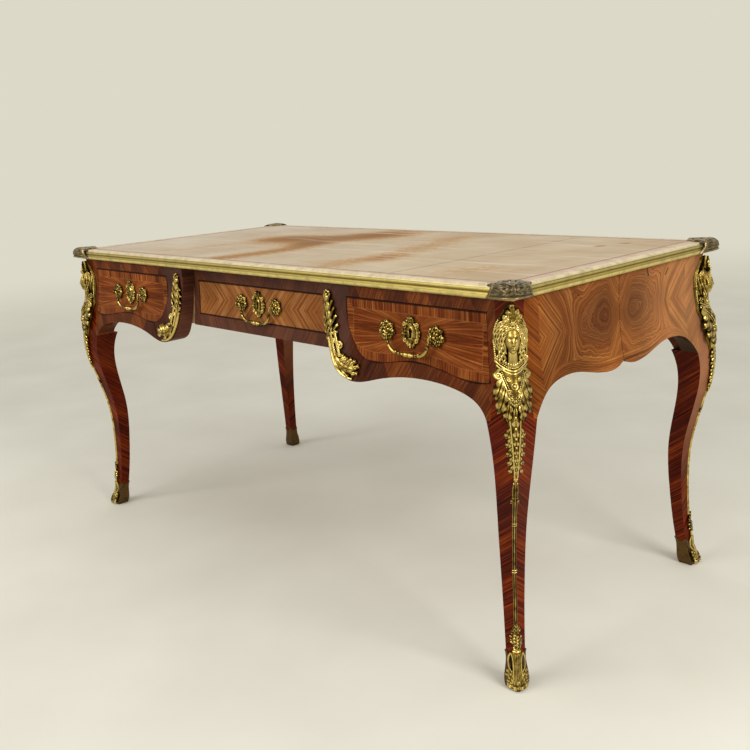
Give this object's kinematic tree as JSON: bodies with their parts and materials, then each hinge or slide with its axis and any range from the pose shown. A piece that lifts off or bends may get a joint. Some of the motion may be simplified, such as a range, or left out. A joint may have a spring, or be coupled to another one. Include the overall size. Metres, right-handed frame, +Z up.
{
  "type": "writing desk",
  "caption": "Flat-topped writing desk with drawers under a leather-lined top, bombe veneered frieze, cabriole legs and gilt bronze mounts with bail handles.",
  "frame": {"origin": "on the floor under the middle of the desk", "axes": "+X along the desk to the right of someone who faces the drawers, -Y towards that person, +Z up"},
  "size_m": [1.5774, 0.7624, 0.781],
  "materials": {
    "tulipwood_veneer": "french polished",
    "oak": "bare",
    "gilt_bronze": "gilt, aged",
    "iron": "oiled",
    "tan_leather": "worn"
  },
  "bodies": {
    "carcass": {"back_frame_centre": "tulipwood_veneer", "back_frame_left": "tulipwood_veneer", "back_frame_right": "tulipwood_veneer", "chute_back_left": "gilt_bronze", "chute_back_right": "gilt_bronze", "chute_front_left": "gilt_bronze", "chute_front_right": "gilt_bronze", "corner_clasps": "gilt_bronze", "drawer_kickers": "oak", "drawer_runners": "oak", "end_panel_left": "tulipwood_veneer", "end_panel_right": "tulipwood_veneer", "front_frame_centre": "tulipwood_veneer", "front_frame_left": "tulipwood_veneer", "front_frame_right": "tulipwood_veneer", "front_rails": "tulipwood_veneer", "leg_back_left": "tulipwood_veneer", "leg_back_right": "tulipwood_veneer", "leg_fillets": "gilt_bronze", "leg_front_left": "tulipwood_veneer", "leg_front_right": "tulipwood_veneer", "lock_strikes": "iron", "partitions": "oak", "sabots": "gilt_bronze", "scroll_mounts": "gilt_bronze", "sham_drawer_fronts": "tulipwood_veneer", "sham_handle_plates": "gilt_bronze", "top_moulding": "gilt_bronze", "top_panel": "tulipwood_veneer", "writing_leather": "tan_leather"},
    "drawer_left": {"drawer_left_front": "tulipwood_veneer", "drawer_left_sides": "oak", "drawer_left_back": "oak", "drawer_left_bottom": "oak", "drawer_left_lock_case": "iron", "drawer_left_escutcheon": "gilt_bronze", "drawer_left_rosettes": "gilt_bronze"},
    "bail_left": {"drawer_left_bail": "gilt_bronze"},
    "lock_bolt_left": {"drawer_left_lock_bolt": "iron"},
    "sham_bail_left": {"sham_bail_left": "gilt_bronze"},
    "drawer_centre": {"drawer_centre_front": "tulipwood_veneer", "drawer_centre_sides": "oak", "drawer_centre_back": "oak", "drawer_centre_bottom": "oak", "drawer_centre_lock_case": "iron", "drawer_centre_escutcheon": "gilt_bronze", "drawer_centre_rosettes": "gilt_bronze"},
    "bail_centre": {"drawer_centre_bail": "gilt_bronze"},
    "lock_bolt_centre": {"drawer_centre_lock_bolt": "iron"},
    "sham_bail_centre": {"sham_bail_centre": "gilt_bronze"},
    "drawer_right": {"drawer_right_front": "tulipwood_veneer", "drawer_right_sides": "oak", "drawer_right_back": "oak", "drawer_right_bottom": "oak", "drawer_right_lock_case": "iron", "drawer_right_escutcheon": "gilt_bronze", "drawer_right_rosettes": "gilt_bronze"},
    "bail_right": {"drawer_right_bail": "gilt_bronze"},
    "lock_bolt_right": {"drawer_right_lock_bolt": "iron"},
    "sham_bail_right": {"sham_bail_right": "gilt_bronze"}
  },
  "joints": [
    {"name": "drawer_left_slide", "type": "slide", "parent": "carcass", "child": "drawer_left", "axis": [0, -1, 0], "range_m": [0, 0.4]},
    {"name": "drawer_centre_slide", "type": "slide", "parent": "carcass", "child": "drawer_centre", "axis": [0, -1, 0], "range_m": [0, 0.36]},
    {"name": "drawer_right_slide", "type": "slide", "parent": "carcass", "child": "drawer_right", "axis": [0, -1, 0], "range_m": [0, 0.4]},
    {"name": "bail_left_swing", "type": "hinge", "parent": "drawer_left", "child": "bail_left", "pos_m": [-0.5205, -0.36559, 0.667], "axis": [-1, 0, 0], "range_deg": [0, 95]},
    {"name": "bail_centre_swing", "type": "hinge", "parent": "drawer_centre", "child": "bail_centre", "pos_m": [0, -0.33129, 0.672], "axis": [-1, 0, 0], "range_deg": [0, 95]},
    {"name": "bail_right_swing", "type": "hinge", "parent": "drawer_right", "child": "bail_right", "pos_m": [0.5205, -0.36559, 0.667], "axis": [-1, 0, 0], "range_deg": [0, 95]},
    {"name": "lock_bolt_left_lift", "type": "slide", "parent": "drawer_left", "child": "lock_bolt_left", "axis": [0, 0, 1], "range_m": [0, 0.008]},
    {"name": "lock_bolt_centre_lift", "type": "slide", "parent": "drawer_centre", "child": "lock_bolt_centre", "axis": [0, 0, 1], "range_m": [0, 0.008]},
    {"name": "lock_bolt_right_lift", "type": "slide", "parent": "drawer_right", "child": "lock_bolt_right", "axis": [0, 0, 1], "range_m": [0, 0.008]},
    {"name": "sham_bail_left_swing", "type": "hinge", "parent": "carcass", "child": "sham_bail_left", "pos_m": [-0.5205, 0.36559, 0.667], "axis": [1, 0, 0], "range_deg": [0, 95]},
    {"name": "sham_bail_centre_swing", "type": "hinge", "parent": "carcass", "child": "sham_bail_centre", "pos_m": [0, 0.33129, 0.672], "axis": [1, 0, 0], "range_deg": [0, 95]},
    {"name": "sham_bail_right_swing", "type": "hinge", "parent": "carcass", "child": "sham_bail_right", "pos_m": [0.5205, 0.36559, 0.667], "axis": [1, 0, 0], "range_deg": [0, 95]}
  ]
}
